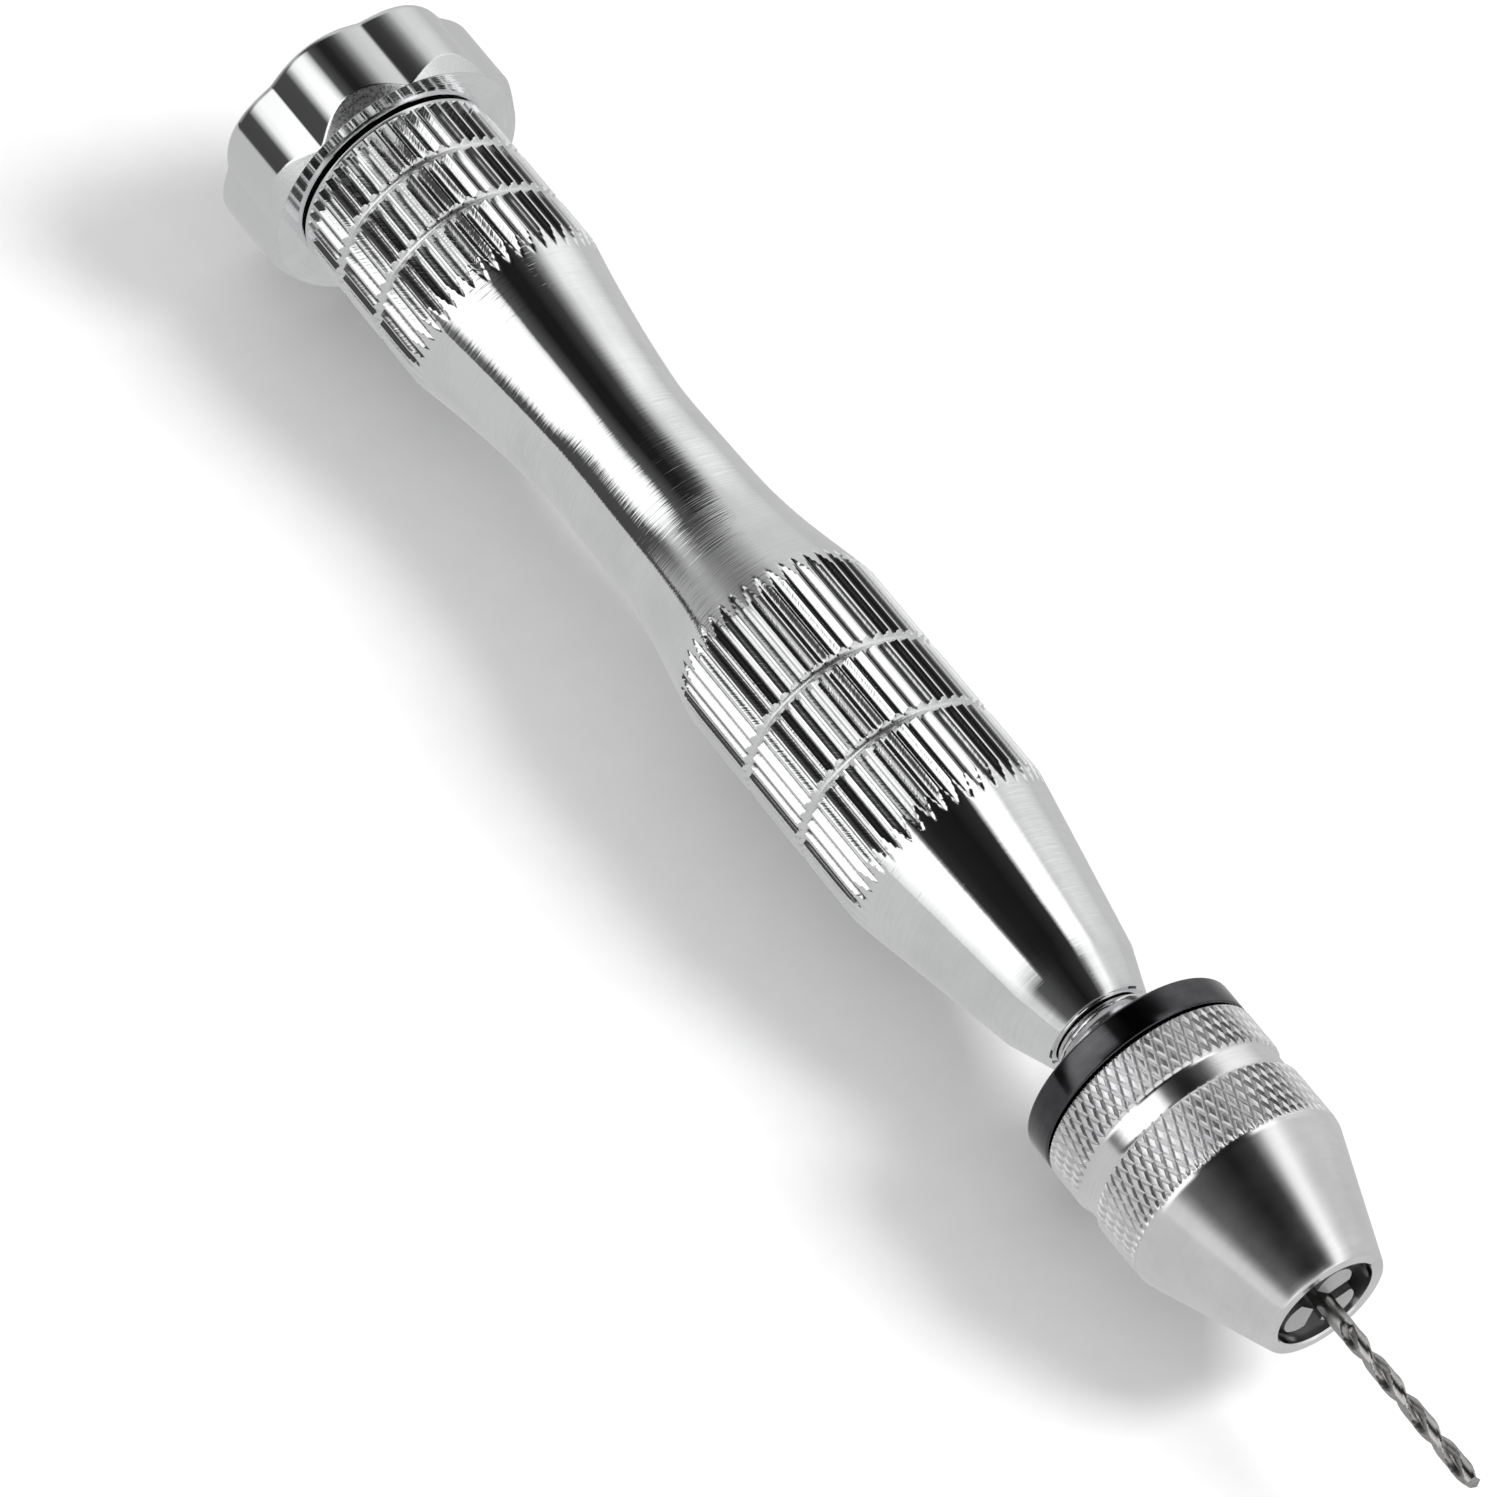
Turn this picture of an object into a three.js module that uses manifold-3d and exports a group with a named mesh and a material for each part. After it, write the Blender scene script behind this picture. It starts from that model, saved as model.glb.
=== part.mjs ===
// Pin vise drill: a turned aluminium handle with a freely turning palm cap at its rear
// end and a small keyless three-jaw chuck, holding a twist drill, at its front end.
//
// Units are millimetres. The tool lies on its side: its axis runs along +X, from the
// palm cap to the drill's point, and +Z is up. The origin is at the middle of the
// tool's length and width, on the surface that it lies on.
//
// Every turned piece is described by stations: distances along the axis, measured
// from the outer face of the palm cap.

import * as THREE from 'three';
import { mergeVertices } from 'three/addons/utils/BufferGeometryUtils.js';
import Module from 'manifold-3d';

const wasm = await Module();
wasm.setup();

// ---------------------------------------------------------------- driving dimensions

const TOOL = { length: 118.2, facets: 36, smallFacets: 24, fit: 0.1 };

const CAP = {
  length: 6.0, lobes: 8, crest: 9.45, valley: 8.88, roundness: 0.6,
  bevelLength: 1.15, bevelRadius: 8.9, edge: 0.25,
  pocketRadius: 5.2, pocketDepth: 2.9, boreRadius: 2.95,
};
const DISC = { front: 0.05, thickness: 0.6, radius: 5.1, dish: 0.25, dishRadius: 3.4 };
const SCREW = {
  headStart: 0.9, headEnd: 1.8, headRadius: 3.0, slotWidth: 0.8, slotDepth: 0.45,
  shoulderRadius: 2.0, shoulderEnd: 6.95, threadRadius: 1.45, end: 15.0,
};
const WAVE = { start: 1.85, end: 2.2, inner: 2.15, outer: 3.7 };
const BUSH = { flangeStart: 2.25, flangeEnd: 2.85, flangeRadius: 4.2, inner: 2.1, outer: 2.85, end: 5.9 };
const THRUST_WASHER = { start: 6.05, end: 6.9, inner: 2.12, outer: 4.4 };

const HANDLE = {
  start: 6.2, end: 81.7, radius: 7.05, endChamfer: 0.3,
  rearKnurlEnd: 18.3, waistCorner: [24.7, 5.78], waist: 31.0, waistRadius: 5.27,
  waistEnd: 38.5, waistEndRadius: 5.46, flareCorner: [41.2, 5.52], flareStart: 44.5,
  flareRadius: 6.15, bendSteps: 6, frontKnurlStart: 49.0, frontKnurlEnd: 66.2,
  noseStart: 78.6, noseRadius: 4.68, tipRadius: 3.5,
  grooves: [10.3, 14.6, 55.3, 61.0], grooveWidth: 0.5, grooveDepth: 0.2,
  washerPocket: 7.0, washerPocketRadius: 4.5, screwHoleEnd: 16.0, screwHoleRadius: 1.55,
  studHoleStart: 71.8, studHoleRadius: 2.6, clearanceStart: 56.0, clearanceRadius: 1.8,
};
const STUD = {
  start: 72.0, shoulder: 81.8, end: 89.4, rearRadius: 2.5, crest: 3.45, root: 3.0,
  pitch: 1.0, visibleEnd: 84.6, bore: 1.7,
};

const BODY = {
  start: 84.75, ringSeatEnd: 86.75, ringSeatRadius: 5.5, journalEnd: 92.8, journalRadius: 6.15,
  raceSeatEnd: 95.05, raceSeatRadius: 5.1, grooveEnd: 97.95, grooveRadius: 4.0,
  end: 99.5, noseRadius: 4.5, threadRadius: 3.55, threadEnd: 89.7, bore: 1.8, jawBoreEnd: 90.3,
};
const RING = { start: 84.6, end: 86.65, inner: 5.6, outer: 7.27, edge: 0.2 };
const SLEEVE = {
  start: 86.8, end: 104.0, knurlRadius: 7.3, bandStart: 89.9, bandEnd: 91.4, bandRadius: 7.1,
  coneStart: 95.8, coneRadius: 7.2, noseRadius: 4.17, noseEdge: 0.2, edge: 0.2,
  mouthRadius: 3.33, mouthStart: 103.4, jawSpaceEnd: 99.6, jawSpaceEndRadius: 4.8,
  jawSpaceStart: 98.0, jawSpaceRadius: 5.0, nutSeatEnd: 97.95, nutSeatRadius: 5.45,
  boreEnd: 96.0, boreRadius: 6.3,
};
const NUT = {
  start: 95.15, end: 97.85, outer: 6.2, shoulder: 96.0, frontRadius: 5.35, split: 0.2,
  jawClearance: 0.12,
};
const RACE = { inner: 5.3, outer: 6.2, rearStart: 92.85, frontStart: 94.35, thickness: 0.6 };
const BALL = { count: 8, radius: 0.38, orbit: 5.68, station: 93.9, clearance: 0.03, facets: 10 };
const CAGE = { inner: 5.15, outer: 6.2, thickness: 0.4 };

const JAW = {
  count: 3, radius: 1.28, tilt: 12, front: 103.75, rear: 94.9, frontOffset: 1.5, blank: 12,
  overrun: 3, tipGap: 0.15, bevel: 60, toothPitch: 1.0, teeth: 4, toothWidth: 0.7,
  toothDepth: 0.25, clearance: 0.15, firstAngle: 76.3,
};
const DRILL = { diameter: 1.2, start: 84.2, pointAngle: 118, facets: 16 };

// ---------------------------------------------------------------------------- finishes

const finishes = {
  aluminium: { color: 0xd8dadc, roughness: 0.18, metalness: 1.0 },
  chrome: { color: 0xe2e3e5, roughness: 0.12, metalness: 1.0 },
  blackChrome: { color: 0x3a3b3e, roughness: 0.2, metalness: 1.0 },
  steel: { color: 0xb4b5b6, roughness: 0.35, metalness: 1.0 },
  highSpeedSteel: { color: 0xa9a8a4, roughness: 0.3, metalness: 1.0 },
  brass: { color: 0xc9a45a, roughness: 0.3, metalness: 1.0 },
  nylon: { color: 0xe6e3d8, roughness: 0.6, metalness: 0.0 },
};

// ------------------------------------------------------------------------ solid helpers

// Turns a closed geometry into a solid, dropping the flat triangles on a lathe's axis.
function solid(geometry) {
  const bare = geometry.clone();
  for (const name of ['normal', 'uv']) {
    bare.deleteAttribute(name);
  }
  const merged = mergeVertices(bare, 1e-4);
  const index = Array.from(merged.index.array);
  const triangles = [];
  for (let i = 0; i < index.length; i += 3) {
    const [a, b, c] = index.slice(i, i + 3);
    if (a !== b && b !== c && c !== a) {
      triangles.push(a, b, c);
    }
  }
  if (signedVolume(merged.getAttribute('position'), triangles) < 0) {
    triangles.reverse();
  }
  return new wasm.Manifold(new wasm.Mesh({
    numProp: 3,
    vertProperties: new Float32Array(merged.getAttribute('position').array),
    triVerts: new Uint32Array(triangles),
  }));
}

// Six times the volume inside a closed surface, negative where its faces point inward.
function signedVolume(position, triangles) {
  const corner = (i) => new THREE.Vector3().fromBufferAttribute(position, triangles[i]);
  let total = 0;
  for (let i = 0; i < triangles.length; i += 3) {
    total += corner(i).dot(corner(i + 1).cross(corner(i + 2)));
  }
  return total;
}

function geometryOf(body) {
  const { vertProperties, triVerts } = body.getMesh();
  const geometry = new THREE.BufferGeometry();
  geometry.setAttribute('position', new THREE.BufferAttribute(new Float32Array(vertProperties), 3));
  geometry.setIndex(new THREE.BufferAttribute(new Uint32Array(triVerts), 1));
  geometry.computeVertexNormals();
  return geometry;
}

// Revolves [station, radius] points about the tool's axis, with a flat side facing down.
function turned(profile, facets = TOOL.facets) {
  const points = profile.map(([station, radius]) => new THREE.Vector2(radius, station));
  const lathe = new THREE.LatheGeometry(points, facets, Math.PI / facets);
  return solid(lathe.rotateZ(-Math.PI / 2));
}

// A plain cylinder on the tool's axis.
function rod(start, end, radius, facets = TOOL.facets) {
  return turned([[start, 0], [start, radius], [end, radius], [end, 0]], facets);
}

// A plain tube on the tool's axis.
function tube(start, end, inner, outer, facets = TOOL.facets) {
  return turned([[start, inner], [start, outer], [end, outer], [end, inner], [start, inner]], facets);
}

// Extrudes a closed outline, given as [y, z] points, along the tool's axis.
function extruded(outline, start, end) {
  const shape = new THREE.Shape(outline.map(([y, z]) => new THREE.Vector2(y, z)));
  const geometry = new THREE.ExtrudeGeometry(shape, { depth: end - start, bevelEnabled: false });
  const toAxis = new THREE.Matrix4().makeBasis(
    new THREE.Vector3(0, 1, 0), new THREE.Vector3(0, 0, 1), new THREE.Vector3(1, 0, 0));
  geometry.applyMatrix4(toAxis).translate(start, 0, 0);
  return solid(geometry);
}

// Points along a curve through [station, radius] corners: start, bend and end.
function bend(start, corner, end, steps) {
  const curve = new THREE.QuadraticBezierCurve(
    new THREE.Vector2(...start), new THREE.Vector2(...corner), new THREE.Vector2(...end));
  return curve.getPoints(steps).map((point) => [point.x, point.y]);
}

const radians = (degrees) => THREE.MathUtils.degToRad(degrees);
const slope = Math.tan(radians(JAW.tilt));

// --------------------------------------------------------------------------- palm cap

// The lobed outline of the palm cap, with a hollow between two lobes facing down.
function capOutline() {
  const steps = CAP.lobes * 8;
  const points = [];
  for (let i = 0; i < steps; i += 1) {
    const angle = (i / steps) * 2 * Math.PI;
    const height = 0.5 - 0.5 * Math.cos(CAP.lobes * angle);
    const radius = CAP.valley + (CAP.crest - CAP.valley) * height ** CAP.roundness;
    points.push([radius * Math.sin(angle), -radius * Math.cos(angle)]);
  }
  return points;
}

function makeSwivelCap() {
  const envelope = turned([
    [0, 0], [0, CAP.crest - CAP.edge], [CAP.edge, CAP.crest + TOOL.fit],
    [CAP.length - CAP.bevelLength, CAP.crest + TOOL.fit],
    [CAP.length - CAP.bevelLength, CAP.crest], [CAP.length, CAP.bevelRadius], [CAP.length, 0],
  ], CAP.lobes * 8);
  const blank = extruded(capOutline(), -1, CAP.length + 1).intersect(envelope);
  const pocket = rod(-1, CAP.pocketDepth, CAP.pocketRadius);
  const bore = rod(CAP.pocketDepth - 1, CAP.length + 1, CAP.boreRadius, TOOL.smallFacets);
  return blank.subtract(pocket).subtract(bore);
}

function makeCapDisc() {
  const back = DISC.front + DISC.thickness;
  return turned([
    [DISC.front + DISC.dish, 0], [DISC.front, DISC.dishRadius], [DISC.front, DISC.radius],
    [back, DISC.radius], [back, 0],
  ]);
}

function makePivotBush() {
  return turned([
    [BUSH.flangeStart, BUSH.inner], [BUSH.flangeStart, BUSH.flangeRadius],
    [BUSH.flangeEnd, BUSH.flangeRadius], [BUSH.flangeEnd, BUSH.outer],
    [BUSH.end, BUSH.outer], [BUSH.end, BUSH.inner], [BUSH.flangeStart, BUSH.inner],
  ], TOOL.smallFacets);
}

function makePivotScrew() {
  const blank = turned([
    [SCREW.headStart, 0], [SCREW.headStart, SCREW.headRadius], [SCREW.headEnd, SCREW.headRadius],
    [SCREW.headEnd, SCREW.shoulderRadius], [SCREW.shoulderEnd, SCREW.shoulderRadius],
    [SCREW.shoulderEnd, SCREW.threadRadius], [SCREW.end, SCREW.threadRadius], [SCREW.end, 0],
  ], TOOL.smallFacets);
  const half = SCREW.slotWidth / 2;
  const long = SCREW.headRadius + 1;
  const slot = [[-long, -half], [long, -half], [long, half], [-long, half]];
  return blank.subtract(extruded(slot, SCREW.headStart - 1, SCREW.headStart + SCREW.slotDepth));
}

// ----------------------------------------------------------------------------- handle

function grooveCut(station) {
  const half = HANDLE.grooveWidth / 2;
  const clear = HANDLE.radius + 1;
  return turned([
    [station - half, clear], [station - half, HANDLE.radius], [station, HANDLE.radius - HANDLE.grooveDepth],
    [station + half, HANDLE.radius], [station + half, clear], [station - half, clear],
  ]);
}

function makeHandle() {
  const outline = [
    [HANDLE.start, 0],
    [HANDLE.start, HANDLE.radius - HANDLE.endChamfer],
    [HANDLE.start + HANDLE.endChamfer, HANDLE.radius],
    ...bend([HANDLE.rearKnurlEnd, HANDLE.radius], HANDLE.waistCorner,
      [HANDLE.waist, HANDLE.waistRadius], HANDLE.bendSteps),
    ...bend([HANDLE.waistEnd, HANDLE.waistEndRadius], HANDLE.flareCorner,
      [HANDLE.flareStart, HANDLE.flareRadius], HANDLE.bendSteps),
    [HANDLE.frontKnurlStart, HANDLE.radius],
    [HANDLE.frontKnurlEnd, HANDLE.radius],
    [HANDLE.noseStart, HANDLE.noseRadius],
    [HANDLE.end, HANDLE.tipRadius],
    [HANDLE.end, 0],
  ];
  let body = turned(outline);
  for (const station of HANDLE.grooves) {
    body = body.subtract(grooveCut(station));
  }
  const pocket = rod(HANDLE.start - 1, HANDLE.washerPocket, HANDLE.washerPocketRadius);
  const screwHole = rod(HANDLE.start, HANDLE.screwHoleEnd, HANDLE.screwHoleRadius, TOOL.smallFacets);
  const studHole = rod(HANDLE.studHoleStart, HANDLE.end + 1, HANDLE.studHoleRadius, TOOL.smallFacets);
  const clearance = rod(HANDLE.clearanceStart, HANDLE.end, HANDLE.clearanceRadius, TOOL.smallFacets);
  return body.subtract(pocket).subtract(screwHole).subtract(studHole).subtract(clearance);
}

function makeChuckStud() {
  const crests = [];
  for (let station = STUD.shoulder + STUD.pitch / 2; station < STUD.visibleEnd; station += STUD.pitch) {
    crests.push([station, STUD.crest], [station + STUD.pitch / 2, STUD.root]);
  }
  return turned([
    [STUD.start, STUD.bore], [STUD.start, STUD.rearRadius], [STUD.shoulder, STUD.rearRadius],
    [STUD.shoulder, STUD.root], ...crests, [STUD.visibleEnd + STUD.pitch, STUD.crest],
    [STUD.end, STUD.crest], [STUD.end, STUD.bore], [STUD.start, STUD.bore],
  ], TOOL.smallFacets);
}

// ------------------------------------------------------------------------------ chuck

// Places a piece made around a jaw's line: its axis leans away from the tool's axis
// towards the rear, and crosses the jaw's front face at frontOffset from that axis.
function alongJaw(geometry, number) {
  const angle = radians(JAW.firstAngle + (number * 360) / JAW.count);
  const lean = new THREE.Matrix4().makeRotationZ(-radians(JAW.tilt));
  const place = new THREE.Matrix4().makeTranslation(JAW.front, JAW.frontOffset, 0);
  const around = new THREE.Matrix4().makeRotationX(angle);
  return geometry.applyMatrix4(lean).applyMatrix4(place).applyMatrix4(around);
}

// A cylinder on a jaw's line, its rear end reach mm behind the front face.
function jawLineRod(number, radius, reach) {
  const length = reach + JAW.overrun;
  const geometry = new THREE.CylinderGeometry(radius, radius, length, TOOL.smallFacets);
  geometry.rotateZ(-Math.PI / 2).translate(length / 2 - reach, 0, 0);
  return solid(alongJaw(geometry, number));
}

function toothCut(number) {
  const station = JAW.rear + (number + 0.5) * JAW.toothPitch;
  const edge = JAW.frontOffset + (JAW.front - station) * slope + JAW.radius / Math.cos(radians(JAW.tilt));
  const half = JAW.toothWidth / 2;
  return turned([
    [station - half, edge + 1], [station - half, edge], [station, edge - JAW.toothDepth],
    [station + half, edge], [station + half, edge + 1], [station - half, edge + 1],
  ], TOOL.smallFacets);
}

function makeJaw(number) {
  const angle = radians(JAW.firstAngle + (number * 360) / JAW.count);
  const tip = DRILL.diameter / 2 + JAW.tipGap;
  const width = 2 * JAW.blank;
  const depth = width / Math.tan(radians(JAW.bevel));
  const wedge = [[tip, 0], [tip + depth, width], [tip + depth, -width]].map(([out, across]) => [
    out * Math.cos(angle) - across * Math.sin(angle),
    out * Math.sin(angle) + across * Math.cos(angle),
  ]);
  let jaw = jawLineRod(number, JAW.radius, JAW.blank).intersect(extruded(wedge, JAW.rear, JAW.front));
  for (let tooth = 0; tooth < JAW.teeth; tooth += 1) {
    jaw = jaw.subtract(toothCut(tooth));
  }
  return jaw;
}

function makeChuckBody() {
  let body = turned([
    [BODY.start, BODY.threadRadius], [BODY.start, BODY.ringSeatRadius],
    [BODY.ringSeatEnd, BODY.ringSeatRadius], [BODY.ringSeatEnd, BODY.journalRadius],
    [BODY.journalEnd, BODY.journalRadius], [BODY.journalEnd, BODY.raceSeatRadius],
    [BODY.raceSeatEnd, BODY.raceSeatRadius], [BODY.raceSeatEnd, BODY.grooveRadius],
    [BODY.grooveEnd, BODY.grooveRadius], [BODY.grooveEnd, BODY.noseRadius],
    [BODY.end, BODY.noseRadius], [BODY.end, BODY.bore], [BODY.threadEnd, BODY.bore],
    [BODY.threadEnd, BODY.threadRadius], [BODY.start, BODY.threadRadius],
  ]);
  const reach = (JAW.front - BODY.jawBoreEnd) / Math.cos(radians(JAW.tilt));
  for (let number = 0; number < JAW.count; number += 1) {
    body = body.subtract(jawLineRod(number, JAW.radius + JAW.clearance, reach));
  }
  return body;
}

function makeRearRing() {
  return turned([
    [RING.start, RING.inner], [RING.start, RING.outer - RING.edge],
    [RING.start + RING.edge, RING.outer], [RING.end - RING.edge, RING.outer],
    [RING.end, RING.outer - RING.edge], [RING.end, RING.inner], [RING.start, RING.inner],
  ]);
}

function makeChuckSleeve() {
  return turned([
    [SLEEVE.start, SLEEVE.boreRadius], [SLEEVE.start, SLEEVE.knurlRadius - SLEEVE.edge],
    [SLEEVE.start + SLEEVE.edge, SLEEVE.knurlRadius], [SLEEVE.bandStart - SLEEVE.edge, SLEEVE.knurlRadius],
    [SLEEVE.bandStart, SLEEVE.bandRadius], [SLEEVE.bandEnd, SLEEVE.bandRadius],
    [SLEEVE.bandEnd + SLEEVE.edge, SLEEVE.knurlRadius], [SLEEVE.coneStart - SLEEVE.edge, SLEEVE.knurlRadius],
    [SLEEVE.coneStart, SLEEVE.coneRadius], [SLEEVE.end - SLEEVE.noseEdge, SLEEVE.noseRadius],
    [SLEEVE.end, SLEEVE.noseRadius - SLEEVE.noseEdge], [SLEEVE.end, SLEEVE.mouthRadius],
    [SLEEVE.mouthStart, SLEEVE.mouthRadius], [SLEEVE.jawSpaceEnd, SLEEVE.jawSpaceEndRadius],
    [SLEEVE.jawSpaceStart, SLEEVE.jawSpaceRadius], [SLEEVE.nutSeatEnd, SLEEVE.nutSeatRadius],
    [SLEEVE.boreEnd, SLEEVE.boreRadius], [SLEEVE.start, SLEEVE.boreRadius],
  ]);
}

// Half of the split nut whose conical thread drives the jaws: side is 1 or -1.
function makeNutHalf(side) {
  const inner = (station) => JAW.frontOffset + (JAW.front - station) * slope
    + JAW.radius / Math.cos(radians(JAW.tilt)) + NUT.jawClearance;
  const ring = turned([
    [NUT.start, inner(NUT.start)], [NUT.start, NUT.outer], [NUT.shoulder, NUT.outer],
    [NUT.end, NUT.frontRadius], [NUT.end, inner(NUT.end)], [NUT.start, inner(NUT.start)],
  ]);
  const far = NUT.outer + 1;
  const near = side * NUT.split / 2;
  const half = [[near, -far], [side * far, -far], [side * far, far], [near, far]];
  return ring.intersect(extruded(half, NUT.start - 1, NUT.end + 1));
}

function ballPlace(number) {
  const angle = ((number + 0.5) / BALL.count) * 2 * Math.PI;
  return new THREE.Vector3(BALL.station, BALL.orbit * Math.cos(angle), BALL.orbit * Math.sin(angle));
}

function makeBallCage() {
  const half = CAGE.thickness / 2;
  const holeRadius = BALL.radius + BALL.clearance;
  let cage = tube(BALL.station - half, BALL.station + half, CAGE.inner, CAGE.outer);
  for (let number = 0; number < BALL.count; number += 1) {
    const { y, z } = ballPlace(number);
    const hole = new THREE.CylinderGeometry(holeRadius, holeRadius, 2 * CAGE.thickness, BALL.facets);
    hole.rotateZ(Math.PI / 2).translate(BALL.station, y, z);
    cage = cage.subtract(solid(hole));
  }
  return cage;
}

function makeBall(number) {
  const ball = new THREE.SphereGeometry(BALL.radius, BALL.facets, BALL.facets);
  const place = ballPlace(number);
  return solid(ball.translate(place.x, place.y, place.z));
}

// -------------------------------------------------------------------------- drill bit

function makeDrillBit() {
  const radius = DRILL.diameter / 2;
  const point = radius / Math.tan(radians(DRILL.pointAngle / 2));
  return turned([
    [DRILL.start, 0], [DRILL.start, radius], [TOOL.length - point, radius], [TOOL.length, 0],
  ], DRILL.facets);
}

// --------------------------------------------------------------------------- assembly

const pieces = [
  ['swivel_cap', makeSwivelCap(), finishes.aluminium],
  ['cap_disc', makeCapDisc(), finishes.aluminium],
  ['pivot_bush', makePivotBush(), finishes.brass],
  ['pivot_screw', makePivotScrew(), finishes.steel],
  ['wave_washer', tube(WAVE.start, WAVE.end, WAVE.inner, WAVE.outer, TOOL.smallFacets), finishes.steel],
  ['thrust_washer', tube(THRUST_WASHER.start, THRUST_WASHER.end, THRUST_WASHER.inner,
    THRUST_WASHER.outer, TOOL.smallFacets), finishes.nylon],
  ['handle', makeHandle(), finishes.aluminium],
  ['chuck_stud', makeChuckStud(), finishes.steel],
  ['chuck_body', makeChuckBody(), finishes.steel],
  ['rear_ring', makeRearRing(), finishes.blackChrome],
  ['chuck_sleeve', makeChuckSleeve(), finishes.chrome],
  ['nut_half_left', makeNutHalf(1), finishes.brass],
  ['nut_half_right', makeNutHalf(-1), finishes.brass],
  ['race_rear', tube(RACE.rearStart, RACE.rearStart + RACE.thickness, RACE.inner, RACE.outer),
    finishes.steel],
  ['race_front', tube(RACE.frontStart, RACE.frontStart + RACE.thickness, RACE.inner, RACE.outer),
    finishes.steel],
  ['ball_cage', makeBallCage(), finishes.brass],
  ['drill_bit', makeDrillBit(), finishes.highSpeedSteel],
];
for (let number = 0; number < BALL.count; number += 1) {
  pieces.push([`race_ball_${number + 1}`, makeBall(number), finishes.steel]);
}
for (let number = 0; number < JAW.count; number += 1) {
  pieces.push([`jaw_${number + 1}`, makeJaw(number), finishes.steel]);
}

const axisHeight = Math.max(...capOutline().map(([, z]) => -z));

const pinVise = new THREE.Group();
for (const [name, body, finish] of pieces) {
  const mesh = new THREE.Mesh(geometryOf(body), new THREE.MeshStandardMaterial(finish));
  mesh.name = name;
  pinVise.add(mesh);
}
pinVise.position.set(-TOOL.length / 2, 0, axisHeight);

export default pinVise;
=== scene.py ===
"""Looks of a pin vise drill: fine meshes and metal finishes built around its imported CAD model.

Everything stands in the CAD model's frame, in metres: the tool's axis runs along +X from the
palm cap to the drill's point, and +Z is up. Inside the classes, sizes are millimetres, and a
place along the axis is a station, measured from the outer face of the palm cap.
"""

import logging
import math
from dataclasses import dataclass, field
from enum import Enum

import bpy
import numpy as np
from mathutils import Matrix, Vector


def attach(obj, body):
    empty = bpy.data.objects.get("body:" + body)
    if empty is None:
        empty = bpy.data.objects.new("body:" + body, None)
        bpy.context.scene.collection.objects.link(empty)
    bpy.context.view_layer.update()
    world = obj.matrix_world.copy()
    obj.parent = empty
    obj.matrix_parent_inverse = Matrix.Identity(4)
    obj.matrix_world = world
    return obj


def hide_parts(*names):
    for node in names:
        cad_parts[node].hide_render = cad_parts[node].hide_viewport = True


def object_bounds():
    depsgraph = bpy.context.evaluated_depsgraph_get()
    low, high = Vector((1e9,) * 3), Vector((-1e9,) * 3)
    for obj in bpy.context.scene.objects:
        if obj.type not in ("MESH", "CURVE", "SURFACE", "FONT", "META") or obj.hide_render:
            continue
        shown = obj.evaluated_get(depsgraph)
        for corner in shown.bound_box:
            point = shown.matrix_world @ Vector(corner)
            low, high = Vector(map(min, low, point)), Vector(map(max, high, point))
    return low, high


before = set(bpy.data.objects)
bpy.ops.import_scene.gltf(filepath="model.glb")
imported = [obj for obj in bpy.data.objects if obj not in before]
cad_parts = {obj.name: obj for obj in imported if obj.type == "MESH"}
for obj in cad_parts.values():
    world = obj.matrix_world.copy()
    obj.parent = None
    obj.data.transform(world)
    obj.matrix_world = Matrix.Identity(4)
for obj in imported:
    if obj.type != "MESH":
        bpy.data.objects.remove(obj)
CAD_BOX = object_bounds()

MM = 0.001
AXIS_HEIGHT = (CAD_BOX[0].z + CAD_BOX[1].z) / 2
REAR_END = CAD_BOX[0].x
NO_RADIUS = 1e-6
NOISE_SPAN = (0.3, 0.7)
LOG = logging.getLogger("pin_vise")

Point = tuple[float, float]
Outline = tuple[Point, ...]
Span = tuple[float, float]
Colour = tuple[float, float, float]
Place = tuple[float, float, float]


# ------------------------------------------------------------------------------ mesh making


class Diagonal(Enum):
    """Which way a four-sided face is split into two triangles."""

    NONE = 0
    FORWARD = 1
    BACKWARD = 2


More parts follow.
